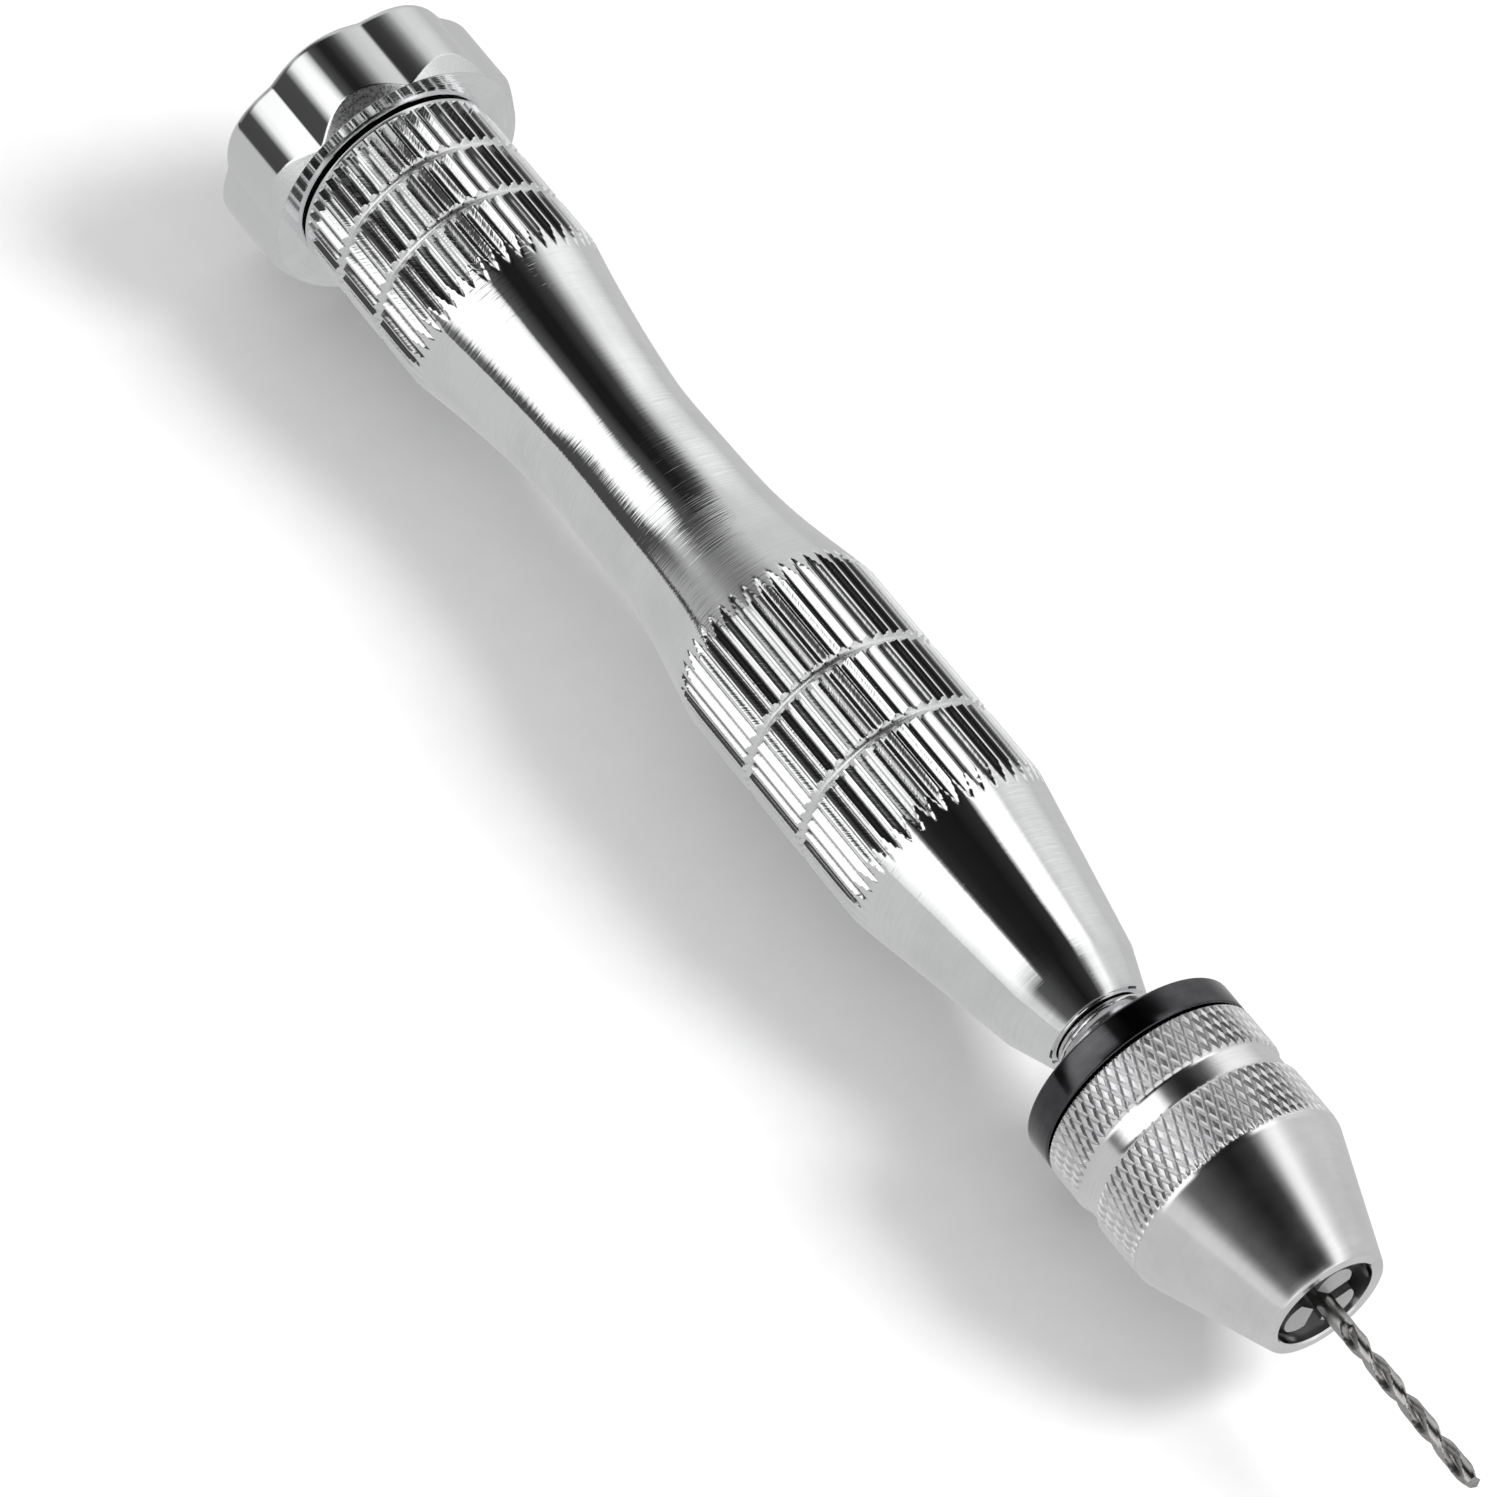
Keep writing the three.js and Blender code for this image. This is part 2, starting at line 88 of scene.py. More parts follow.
@dataclass
class Skin:
    """A closed surface made of rings of points around the tool's axis.

    Each ring holds one station and one radius for every column angle. A ring of no radius
    at either end closes to a point. A looped skin joins its last ring to its first.
    """

    name: str
    angles: np.ndarray
    looped: bool = False
    stations: list[np.ndarray] = field(default_factory=list)
    radii: list[np.ndarray] = field(default_factory=list)
    marks: dict[str, list[np.ndarray]] = field(default_factory=dict)
    splits: list[np.ndarray] = field(default_factory=list)

    def ring(self, station: float, radius: float | np.ndarray,
             split: np.ndarray | None = None, **marks: float | np.ndarray) -> None:
        """Adds one ring.

        Args:
            station: place along the axis, in millimetres.
            radius: one radius, or one for each column, in millimetres.
            split: for each column, a Diagonal's value for the face after this ring.
            marks: values from 0 to 1 that the finish reads: groove, satin or polish.
        """
        count = len(self.angles)
        self.stations.append(np.broadcast_to(station, count).astype(float))
        self.radii.append(np.broadcast_to(radius, count).astype(float))
        self.splits.append(np.full(count, Diagonal.NONE.value) if split is None else split)
        for key in self.marks:
            self.marks[key].append(np.zeros(count))
        for key, value in marks.items():
            if key not in self.marks:
                self.marks[key] = [np.zeros(count) for _ in self.stations]
            self.marks[key][-1] = np.broadcast_to(value, count).astype(float)

    def rings(self, points: list[Point] | Outline, **marks: float | np.ndarray) -> None:
        """Adds a plain round ring for each (station, radius) point."""
        for station, radius in points:
            self.ring(station, radius, **marks)

    def _points(self) -> tuple[np.ndarray, np.ndarray]:
        """Works out the points in metres.

        Returns:
            The points, and for each ring and column the number of its point.
        """
        stations = np.array(self.stations)
        radii = np.array(self.radii)
        places = np.stack([
            REAR_END + stations * MM,
            radii * np.cos(self.angles) * MM,
            AXIS_HEIGHT + radii * np.sin(self.angles) * MM,
        ], axis=-1)
        numbers = np.arange(radii.size).reshape(radii.shape)
        for ring in (0, len(radii) - 1):
            if not self.looped and radii[ring].max() < NO_RADIUS:
                numbers[ring] = numbers[ring][0]
        return places.reshape(-1, 3), numbers

    def _faces(self, numbers: np.ndarray) -> list[list[int]]:
        """Joins each ring to the next.

        Args:
            numbers: the number of each ring's points.

        Returns:
            The corner numbers of every face.
        """
        if self.looped:
            numbers = np.vstack([numbers, numbers[:1]])
        a, b = numbers[:-1], numbers[1:]
        c, d = np.roll(b, -1, axis=1), np.roll(a, -1, axis=1)
        corners = np.stack([a, b, c, d], axis=-1).reshape(-1, 4)
        splits = np.array(self.splits)[:len(a)].reshape(-1)
        faces = []
        for (p, q, r, s), split in zip(corners.tolist(), splits.tolist()):
            if split == Diagonal.FORWARD.value:
                faces += [[p, q, r], [p, r, s]]
            elif split == Diagonal.BACKWARD.value:
                faces += [[p, q, s], [q, r, s]]
            elif p == s:
                faces.append([p, q, r])
            elif q == r:
                faces.append([p, q, s])
            else:
                faces.append([p, q, r, s])
        return faces

    def build(self, crease: float = 30.0) -> bpy.types.Object:
        """Makes the object, smooth apart from edges sharper than the crease.

        Args:
            crease: the angle in degrees above which an edge is sharp.

        Returns:
            The new object, at the origin of the CAD model's frame.
        """
        places, numbers = self._points()
        faces = self._faces(numbers)
        used = np.unique(numbers)
        renumber = np.full(len(places), -1)
        renumber[used] = np.arange(len(used))
        faces = [[int(renumber[i]) for i in face][::-1] for face in faces]
        mesh = bpy.data.meshes.new(self.name)
        mesh.from_pydata(places[used].tolist(), [], faces)
        for key, values in self.marks.items():
            layer = mesh.attributes.new(key, "FLOAT", "POINT")
            layer.data.foreach_set("value", np.array(values).reshape(-1)[used].astype(np.float32))
        mesh.validate()
        mesh.shade_smooth()
        mesh.set_sharp_from_angle(angle=math.radians(crease))
        thing = bpy.data.objects.new(self.name, mesh)
        bpy.context.scene.collection.objects.link(thing)
        return thing


def columns(count: int) -> np.ndarray:
    """Evenly spaced column angles around the axis, in radians, from +Y towards +Z."""
    return np.arange(count) * 2 * math.pi / count


def bend(start: Point, corner: Point, end: Point, steps: int = 40) -> list[Point]:
    """Points along a smooth bend that leaves both its ends towards the corner.

    Args:
        start: the bend's first (station, radius) point.
        corner: the point that both ends head for.
        end: the bend's last point.
        steps: how many points it has.

    Returns:
        The bend's (station, radius) points.
    """
    t = np.linspace(0, 1, steps)[:, None]
    curve = (1 - t) ** 2 * np.array(start) + 2 * t * (1 - t) * np.array(corner) + t**2 * np.array(end)
    return [tuple(point) for point in curve.tolist()]


def fillet(station: float, radius: float, size: float, turn: int, steps: int = 4,
           outward: bool = True) -> list[Point]:
    """A small round over an outer edge.

    Args:
        station: where the end face is.
        radius: the outer radius beside the edge.
        size: the round's radius.
        turn: 1 where the face looks rearward and the body lies ahead of it, -1 otherwise.
        steps: how many spans the round has.
        outward: True for points from the face out to the side, False for the way back.

    Returns:
        The round's (station, radius) points.
    """
    points = []
    for step in range(steps + 1):
        angle = math.pi / 2 * step / steps
        points.append((station + turn * size * (1 - math.sin(angle)),
                       radius - size * (1 - math.cos(angle))))
    return points[::-1] if outward else points


def smooth_step(value: float | np.ndarray, low: float, high: float) -> np.ndarray:
    """Rises smoothly from 0 at low to 1 at high, or falls where low is the higher of the two."""
    share = np.clip((value - low) / (high - low), 0, 1)
    return share * share * (3 - 2 * share)


def saw(value: np.ndarray) -> np.ndarray:
    """A triangle wave: 1 at whole numbers and 0 halfway between them."""
    return np.abs(2 * (value - np.floor(value)) - 1)


# --------------------------------------------------------------------------------- finishes


class NodeBench:
    """A material's node tree, with short ways to add and join nodes."""

    def __init__(self, name: str) -> None:
        """Starts a material that holds one shader."""
        self.material = bpy.data.materials.new(name)
        self.material.use_nodes = True
        self.tree = self.material.node_tree
        self.shader = self.tree.nodes["Principled BSDF"]

    def add(self, kind: str, inputs: dict | None = None, **settings: object) -> bpy.types.Node:
        """Adds a node.

        Args:
            kind: the node's type.
            inputs: for each socket name or number, a value or a socket to join to it.
            settings: the node's own properties.

        Returns:
            The new node.
        """
        node = self.tree.nodes.new(kind)
        for key, value in settings.items():
            setattr(node, key, value)
        for key, value in (inputs or {}).items():
            self.join(value, node.inputs[key])
        return node

    def join(self, value: object, socket: bpy.types.NodeSocket) -> None:
        """Joins a socket to another, or sets its value.

        Args:
            value: the socket to join from, or the value to set.
            socket: the socket that takes it.
        """
        if isinstance(value, bpy.types.NodeSocket):
            self.tree.links.new(value, socket)
        else:
            socket.default_value = value

    def math(self, operation: str, *values: object) -> bpy.types.NodeSocket:
        """Adds a math node.

        Args:
            operation: what it works out.
            values: its one or two values or sockets.

        Returns:
            The result's socket.
        """
        node = self.add("ShaderNodeMath", operation=operation)
        for number, value in enumerate(values):
            self.join(value, node.inputs[number])
        return node.outputs[0]

    def noise(self, where: object, scale: float, detail: float = 2.0,
              roughness: float = 0.5) -> bpy.types.NodeSocket:
        """Adds a solid noise.

        Args:
            where: the place that it is read at.
            scale: how many lumps it has in a metre.
            detail: how many finer layers it has.
            roughness: how strong each finer layer is.

        Returns:
            The noise's value, which is mostly within NOISE_SPAN.
        """
        node = self.add("ShaderNodeTexNoise", {
            "Vector": where, "Scale": scale, "Detail": detail, "Roughness": roughness})
        return node.outputs[0]

    def fit(self, value: object, span: Span, to_span: Span) -> bpy.types.NodeSocket:
        """Fits a value from one span to another, held at its ends.

        Args:
            value: the socket to fit.
            span: the lowest and highest value that it comes with.
            to_span: what those two become.

        Returns:
            The fitted value's socket.
        """
        node = self.add("ShaderNodeMapRange", {
            "Value": value, "From Min": span[0], "From Max": span[1],
            "To Min": to_span[0], "To Max": to_span[1]}, clamp=True)
        return node.outputs[0]

    def mix(self, share: object, first: object, second: object) -> bpy.types.NodeSocket:
        """Mixes two colours.

        Args:
            share: how much of the second colour there is, from 0 to 1.
            first: a colour's socket, or its red, green and blue.
            second: the same for the second colour.

        Returns:
            The mixed colour's socket.
        """
        node = self.add("ShaderNodeMix", data_type="RGBA")
        sockets = (node.inputs[0], node.inputs[6], node.inputs[7])
        for socket, value in zip(sockets, (share, first, second)):
            self.join((*value, 1) if isinstance(value, tuple) else value, socket)
        return node.outputs[2]

    def mark(self, name: str) -> bpy.types.NodeSocket:
        """Reads a mark of the mesh, which is 0 where the mesh has none."""
        return self.add("ShaderNodeAttribute", attribute_name=name).outputs["Fac"]

    def turned_place(self) -> tuple[bpy.types.NodeSocket, bpy.types.NodeSocket]:
        """Reads where a point is.

        Returns:
            The point's place, and the same place with its distance along the turned profile in
            front, which is what turning lines follow.
        """
        place = self.add("ShaderNodeTexCoord").outputs["Object"]
        split = self.add("ShaderNodeSeparateXYZ", {0: place})
        height = self.math("SUBTRACT", split.outputs[2], AXIS_HEIGHT)
        across = self.math("MULTIPLY", split.outputs[1], split.outputs[1])
        upright = self.math("MULTIPLY", height, height)
        radius = self.math("SQRT", self.math("ADD", across, upright))
        along = self.math("ADD", split.outputs[0], radius)
        turned = self.add("ShaderNodeCombineXYZ", {0: along, 1: split.outputs[1], 2: height})
        return place, turned.outputs[0]

    def lines(self, turned: object, pitch: float, length: float,
              detail: float = 2.0) -> bpy.types.NodeSocket:
        """Adds uneven turning lines that run around the tool and break up.

        Args:
            turned: the place along the turned profile.
            pitch: how far apart the lines are, in millimetres.
            length: how long they run, in millimetres.
            detail: how many finer layers the lines have.

        Returns:
            The lines' height, which is mostly within NOISE_SPAN.
        """
        squeeze = (1.0, pitch / length, pitch / length)
        stretch = self.add("ShaderNodeVectorMath", {0: turned, 1: squeeze}, operation="MULTIPLY")
        return self.noise(stretch.outputs[0], 1 / (pitch * MM), detail)

    def bump(self, height: object, depth: float,
             normal: bpy.types.NodeSocket | None = None) -> bpy.types.NodeSocket:
        """Adds a bump.

        Args:
            height: the height's socket, from 0 to 1.
            depth: how far the bump stands at a height of 1, in millimetres.
            normal: another bump that it goes on top of.

        Returns:
            The bumped normal's socket.
        """
        node = self.add("ShaderNodeBump", {"Height": height, "Distance": depth * MM, "Strength": 1.0})
        if normal is not None:
            self.join(normal, node.inputs["Normal"])
        return node.outputs[0]


@dataclass(frozen=True)
class TurnedMetal:
    """A metal turned on a lathe: bright or dark, with fine turning lines and small wear.

    Patches make the lines stronger here and weaker there. The mottle is a slow change of colour
    and roughness. The grain is the fine tooth of satin and knurled places, and the colour is
    darker towards the bottoms of grooves, by the groove mark. Lengths are in millimetres.
    """

    name: str
    light: Colour
    dark: Colour
    roughness: Span
    line_pitch: float = 0.16
    line_depth: float = 0.004
    line_length: float = 3.0
    line_tint: float = 0.5
    tint_span: Span = (0.55, 0.95)
    patch_size: float = 6.0
    patch_span: Span = (0.38, 0.62)
    patch_gain: Span = (0.5, 1.7)
    mottle_size: float = 3.0
    mottle_depth: float = 0.002
    grain_size: float = 0.18
    grain_depth: float = 0.012
    satin_roughness: Span = (0.18, 0.34)
    groove_roughness: float = 0.12
    groove_grain: float = 0.5
    # The colour that groove bottoms are darkened towards, and how the grain sets how far.
    recess_colour: Colour = (0.25, 0.25, 0.25)
    recess_noise_span: Span = (0.35, 0.7)
    recess_share: Span = (0.25, 0.8)

    def make(self) -> bpy.types.Material:
        """Builds the material.

        Returns:
            The new material.
        """
        bench = NodeBench(self.name)
        place, turned = bench.turned_place()
        mottle = bench.noise(place, 1 / (self.mottle_size * MM), 4.0, 0.6)
        grain = bench.noise(place, 1 / (self.grain_size * MM), 3.0, 0.6)
        groove, satin = bench.mark("groove"), bench.mark("satin")
        lined = bench.math("SUBTRACT", 1.0, bench.mark("polish"))
        patches = bench.noise(turned, 1 / (self.patch_size * MM))
        patches = bench.fit(patches, self.patch_span, self.patch_gain)
        lines = bench.lines(turned, self.line_pitch, self.line_length)
        lines = bench.math("MULTIPLY", lines, bench.math("MULTIPLY", patches, lined))

        tint = bench.math("ADD", mottle, bench.math("MULTIPLY", lines, self.line_tint))
        colour = bench.mix(bench.fit(tint, self.tint_span, (0, 1)), self.dark, self.light)
        # Colour darkened towards the bottoms of grooves, by the groove mark, and patchy with the grain.
        recess_darkening = bench.math("MULTIPLY", groove, bench.fit(grain, self.recess_noise_span, self.recess_share))
        bench.join(bench.mix(recess_darkening, colour, self.recess_colour), bench.shader.inputs["Base Color"])

        rough = bench.fit(mottle, NOISE_SPAN, self.roughness)
        matt = bench.fit(grain, NOISE_SPAN, self.satin_roughness)
        rough = bench.math("ADD", rough, bench.math("MULTIPLY", satin, matt))
        rough = bench.math("ADD", rough, bench.math("MULTIPLY", groove, self.groove_roughness))
        bench.join(rough, bench.shader.inputs["Roughness"])

        bump = bench.bump(lines, self.line_depth)
        bump = bench.bump(mottle, self.mottle_depth, bump)
        rubbed = bench.math("MAXIMUM", satin, bench.math("MULTIPLY", groove, self.groove_grain))
        speckle = bench.math("MULTIPLY", rubbed, grain)
        bench.join(bench.bump(speckle, self.grain_depth, bump), bench.shader.inputs["Normal"])
        bench.shader.inputs["Metallic"].default_value = 1.0
        return bench.material


@dataclass(frozen=True)
class MouldedNylon:
    """An off-white moulded plastic with a faint mottle."""

    name: str
    light: Colour
    dark: Colour
    roughness: Span = (0.42, 0.58)
    mottle_size: float = 0.8
    mottle_depth: float = 0.004

    def make(self) -> bpy.types.Material:
        """Builds the material.

        Returns:
            The new material.
        """
        bench = NodeBench(self.name)
        place, _ = bench.turned_place()
        mottle = bench.noise(place, 1 / (self.mottle_size * MM), 4.0, 0.6)
        share = bench.fit(mottle, NOISE_SPAN, (0, 1))
        bench.join(bench.mix(share, self.dark, self.light), bench.shader.inputs["Base Color"])
        bench.join(bench.fit(mottle, NOISE_SPAN, self.roughness), bench.shader.inputs["Roughness"])
        bench.join(bench.bump(mottle, self.mottle_depth), bench.shader.inputs["Normal"])
        return bench.material


@dataclass(frozen=True)
class PalePaper:
    """The studio floor: smooth pale paper with a hardly visible tooth."""

    name: str
    light: Colour
    dark: Colour
    tooth_size: float = 2.5
    roughness: float = 0.9
    shine: float = 0.1

    def make(self) -> bpy.types.Material:
        """Builds the material.

        Returns:
            The new material.
        """
        bench = NodeBench(self.name)
        place = bench.add("ShaderNodeTexCoord").outputs["Object"]
        tooth = bench.noise(place, 1 / (self.tooth_size * MM), 3.0, 0.6)
        share = bench.fit(tooth, NOISE_SPAN, (0, 1))
        bench.join(bench.mix(share, self.dark, self.light), bench.shader.inputs["Base Color"])
        bench.shader.inputs["Roughness"].default_value = self.roughness
        bench.shader.inputs["Specular IOR Level"].default_value = self.shine
        return bench.material


class Finish(Enum):
    """The finishes that the tool's pieces have, by the name of their material slot."""

    POLISHED_ALUMINIUM = TurnedMetal(
        "polished_aluminium", (0.93, 0.935, 0.94), (0.85, 0.855, 0.86), (0.025, 0.06),
        line_depth=0.009)
    CHROME_PLATE = TurnedMetal(
        "chrome_plate", (0.94, 0.94, 0.945), (0.86, 0.86, 0.87), (0.12, 0.2), line_depth=0.002)
    BLACK_CHROME = TurnedMetal(
        "black_chrome", (0.12, 0.12, 0.125), (0.07, 0.07, 0.075), (0.08, 0.14), line_depth=0.0015,
        recess_colour=(0.03, 0.03, 0.03))
    JAW_STEEL = TurnedMetal(
        "jaw_steel", (0.74, 0.74, 0.735), (0.6, 0.6, 0.595), (0.3, 0.42), line_pitch=0.1,
        line_depth=0.003)
    BEARING_STEEL = TurnedMetal(
        "bearing_steel", (0.80, 0.80, 0.81), (0.66, 0.66, 0.67), (0.14, 0.26))
    HIGH_SPEED_STEEL = TurnedMetal(
        "high_speed_steel", (0.52, 0.515, 0.505), (0.34, 0.336, 0.33), (0.16, 0.3), line_pitch=0.08,
        recess_colour=(0.16, 0.15, 0.14))
    BRASS = TurnedMetal(
        "brass", (0.84, 0.66, 0.33), (0.66, 0.48, 0.2), (0.16, 0.28))
    NYLON = MouldedNylon("nylon", (0.88, 0.86, 0.8), (0.78, 0.76, 0.69))

    def material(self) -> bpy.types.Material:
        """Gives the finish's material, made when it is first asked for.

        Returns:
            The material.
        """
        if self not in MADE_FINISHES:
            MADE_FINISHES[self] = self.value.make()
        return MADE_FINISHES[self]


MADE_FINISHES: dict[Finish, bpy.types.Material] = {}


def dress(thing: bpy.types.Object, finish: Finish) -> None:
    """Gives an object one finish all over.

    Args:
        thing: the object.
        finish: its finish.
    """
    thing.data.materials.clear()
    thing.data.materials.append(finish.material())


def fit_piece(thing: bpy.types.Object, body: str, finish: Finish, *nodes: str) -> None:
    """Puts a new piece in place of CAD nodes.

    Args:
        thing: the new piece.
        body: the CAD body that it rides on.
        finish: its finish.
        nodes: the CAD nodes that it stands for.
    """
    dress(thing, finish)
    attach(thing, body)
    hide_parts(*nodes)
    LOG.info("piece %s: %d faces, on %s", thing.name, len(thing.data.polygons), body)


# ---------------------------------------------------------------------------- sub-assemblies


@dataclass
class PalmCap:
    """The freely turning palm cap with its end disc, on a bush that turns on the pivot screw."""

    length: float = 6.0
    lobes: int = 8
    crest: float = 9.45
    valley: float = 8.88
    roundness: float = 0.6
    bevel_length: float = 1.15
    bevel_radius: float = 8.9
    bevel_fade: float = 0.03
    edge: float = 0.25
    pocket_radius: float = 5.2
    pocket_depth: float = 2.9
    pocket_edge: float = 0.1
    bore_radius: float = 2.95
    columns_per_lobe: int = 48
    disc_front: float = 0.05
    disc_radius: float = 5.1
    disc_thickness: float = 0.6
    disc_edge: float = 0.1
    dish: Outline = (
        (0.30, 0.0), (0.297, 0.6), (0.27, 1.4), (0.21, 2.2), (0.12, 3.0), (0.055, 3.5), (0.05, 3.7),
        (0.05, 4.25), (0.13, 4.33), (0.13, 4.43), (0.05, 4.51))

    def outline(self, angles: np.ndarray) -> np.ndarray:
        """The lobed outline's radius at each angle, with a hollow facing down."""
        height = 0.5 + 0.5 * np.cos(self.lobes * (angles + math.pi / 2) + math.pi)
        return self.valley + (self.crest - self.valley) * height**self.roundness

    def shell(self) -> bpy.types.Object:
        """Builds the lobed cap: a ring with a pocket at the rear and a bore for its bush.

        Returns:
            The cap's shell.
        """
        angles = columns(self.lobes * self.columns_per_lobe)
        outline = self.outline(angles)
        skin = Skin("palm_cap", angles, looped=True)
        skin.rings([(self.pocket_depth, self.pocket_radius), (self.pocket_edge, self.pocket_radius),
                    (0.0, self.pocket_radius + self.pocket_edge)])
        for radius in np.linspace(self.pocket_radius + 0.3, self.valley - 0.6, 8):
            skin.ring(0.0, radius)
        for station, radius in fillet(0.0, 0.0, self.edge, 1):
            skin.ring(station, outline + radius, polish=1.0)
        bevel_start = self.length - self.bevel_length
        for station in np.linspace(self.edge + 0.2, bevel_start - 0.05, 10):
            skin.ring(station, outline, polish=1.0)
        slope = (self.crest - self.bevel_radius) / self.bevel_length
        for station in np.linspace(bevel_start, self.length, 26):
            cone = self.crest - (station - bevel_start) * slope
            cut = smooth_step(outline - cone, 0.0, self.bevel_fade)
            skin.ring(station, np.minimum(outline, cone), satin=cut, polish=1.0)
        for radius in np.linspace(self.valley - 0.1, self.bore_radius, 10):
            skin.ring(self.length, radius)
        skin.ring(self.pocket_depth, self.bore_radius)
        return skin.build(crease=24)

    def disc(self) -> bpy.types.Object:
        """Builds the dished end disc with a fine turned groove near its rim.

        Returns:
            The disc.
        """
        back = self.disc_front + self.disc_thickness
        skin = Skin("cap_end_disc", columns(128))
        skin.rings(self.dish)
        skin.rings(fillet(self.disc_front, self.disc_radius, self.disc_edge, 1))
        skin.rings([(back, self.disc_radius), (back, 0.0)])
        return skin.build(crease=35)

    def build(self) -> None:
        """Builds the cap and its end disc."""
        fit_piece(self.shell(), "cap", Finish.POLISHED_ALUMINIUM, "swivel_cap")
        fit_piece(self.disc(), "cap", Finish.POLISHED_ALUMINIUM, "cap_disc")


@dataclass
class Handle:
    """The turned barrel: two straight-knurled bands, a waist and a tapered nose.

    A flute's columns lie at the flute phases, which are shares of its pitch. A turned groove's
    rings lie at the groove shares, which are shares of its half width. The waist's profile is
    blended over the blend length, from where the blend comes in to where it goes out.
    """

    start: float = 6.2
    end: float = 81.7
    radius: float = 7.05
    rear_band_end: float = 18.3
    rear_run_out: float = 20.8
    waist: float = 31.0
    waist_radius: float = 5.27
    waist_corner: Point = (24.7, 5.78)
    waist_end: float = 38.5
    waist_end_radius: float = 5.46
    flare_corner: Point = (41.2, 5.52)
    flare_start: float = 44.5
    flare_radius: float = 6.15
    flare_run_in: float = 47.0
    front_band_start: float = 49.0
    front_band_end: float = 66.2
    front_run_out: float = 68.3
    nose_start: float = 78.6
    nose_radius: float = 4.68
    nose_end: float = 81.45
    tip_radius: float = 3.5
    grooves: tuple[float, ...] = (10.3, 14.6, 55.3, 61.0)
    groove_half_width: float = 0.38
    groove_depth: float = 0.38
    groove_shares: tuple[float, ...] = (-1.05, -0.85, -0.6, -0.3, 0, 0.3, 0.6, 0.85, 1.05)
    flutes: int = 48
    flute_depth: float = 0.34
    flute_ridge: float = 0.12
    flute_flank: float = 0.8
    flute_phases: tuple[float, ...] = (0.0, 0.07, 0.15, 0.27, 0.4, 0.5, 0.6, 0.73, 0.85, 0.93)
    # How much the colour is darkened at the flute bottoms.
    flute_darkening: float = 0.6
    run_out_round: float = 0.07
    profile_step: float = 0.05
    blend_length: float = 3.1
    blend_in: Span = (26.0, 28.5)
    blend_out: Span = (44.0, 42.0)
    end_chamfer: float = 0.35
    lip_radius: float = 7.0
    lip_round: float = 0.14
    lip_satin: float = 0.3
    rear_bore: Outline = ((16.0, 0.0), (16.0, 1.55), (7.0, 1.55), (7.0, 4.5), (6.2, 4.5))
    front_bore: Outline = ((81.7, 2.6), (71.8, 2.6), (71.8, 1.8), (56.0, 1.8), (56.0, 0.0))

    def outline(self) -> tuple[np.ndarray, np.ndarray]:
        """Works out the smooth profile without flutes or grooves.

        Returns:
            The profile's stations and its radii.
        """
        points = [
            (self.start + self.end_chamfer, self.radius),
            *bend((self.rear_band_end, self.radius), self.waist_corner,
                  (self.waist, self.waist_radius)),
            *bend((self.waist_end, self.waist_end_radius), self.flare_corner,
                  (self.flare_start, self.flare_radius)),
            (self.front_band_start, self.radius),
            (self.front_band_end, self.radius),
            (self.nose_start, self.nose_radius),
            (self.nose_end, self.tip_radius + 0.1),
        ]
        stations = np.arange(points[0][0], points[-1][0], self.profile_step)
        radii = np.interp(stations, [p[0] for p in points], [p[1] for p in points])
        window = round(self.blend_length / self.profile_step)
        blended = np.convolve(radii, np.ones(window) / window, "same")
        share = smooth_step(stations, *self.blend_in) * smooth_step(stations, *self.blend_out)
        return stations, radii + share * (blended - radii)

    def flute_profile(self, angles: np.ndarray) -> np.ndarray:
        """How deep the flutes are at each angle, from 0 on a ridge to 1 in the bottom."""
        across = 1 - saw(angles * self.flutes / (2 * math.pi))
        return np.clip((across - self.flute_ridge) / self.flute_flank, 0, 1) ** 0.9

    def station_list(self) -> np.ndarray:
        """Chooses the rings: close together where the flutes run out and at the grooves.

        Returns:
            The rings' stations, in order.
        """
        start = self.start + self.end_chamfer
        found = []
        for end, step in (
                (self.rear_band_end, 1.3), (self.rear_run_out, 0.13), (self.waist, 0.6),
                (self.waist_end, 1.5), (self.flare_run_in, 0.55), (self.front_band_start, 0.12),
                (self.front_band_end, 1.4), (self.front_run_out, 0.12), (self.nose_start, 1.5),
                (self.nose_end, 0.7)):
            found.append(np.linspace(start, end, max(2, round((end - start) / step) + 1)))
            start = end
        reach = self.groove_half_width
        for groove in self.grooves:
            found = [part[np.abs(part - groove) > reach * 1.2] for part in found]
            found.append(groove + np.array(self.groove_shares) * reach)
        return np.unique(np.round(np.concatenate(found), 4))

    def barrel(self) -> bpy.types.Object:
        """Builds the barrel with its end bores.

        Returns:
            The barrel.
        """
        pitch = 2 * math.pi / self.flutes
        angles = (np.arange(self.flutes)[:, None] + np.array(self.flute_phases)).ravel() * pitch
        flutes = self.flute_profile(angles)
        fluted = self.radius - self.flute_depth * flutes
        profile = self.outline()
        skin = Skin("handle_barrel", angles)
        skin.rings(self.rear_bore)
        skin.rings(fillet(self.start, self.lip_radius, self.lip_round, 1), satin=self.lip_satin)
        skin.ring(self.start + self.end_chamfer - 0.03, self.lip_radius)
        for station in self.station_list():
            smooth = float(np.interp(station, *profile))
            cut = np.maximum(smooth - fluted, 0.0)
            rounded = np.where(cut < self.run_out_round, cut * cut / (2 * self.run_out_round),
                               cut - self.run_out_round / 2)
            radius = smooth - rounded
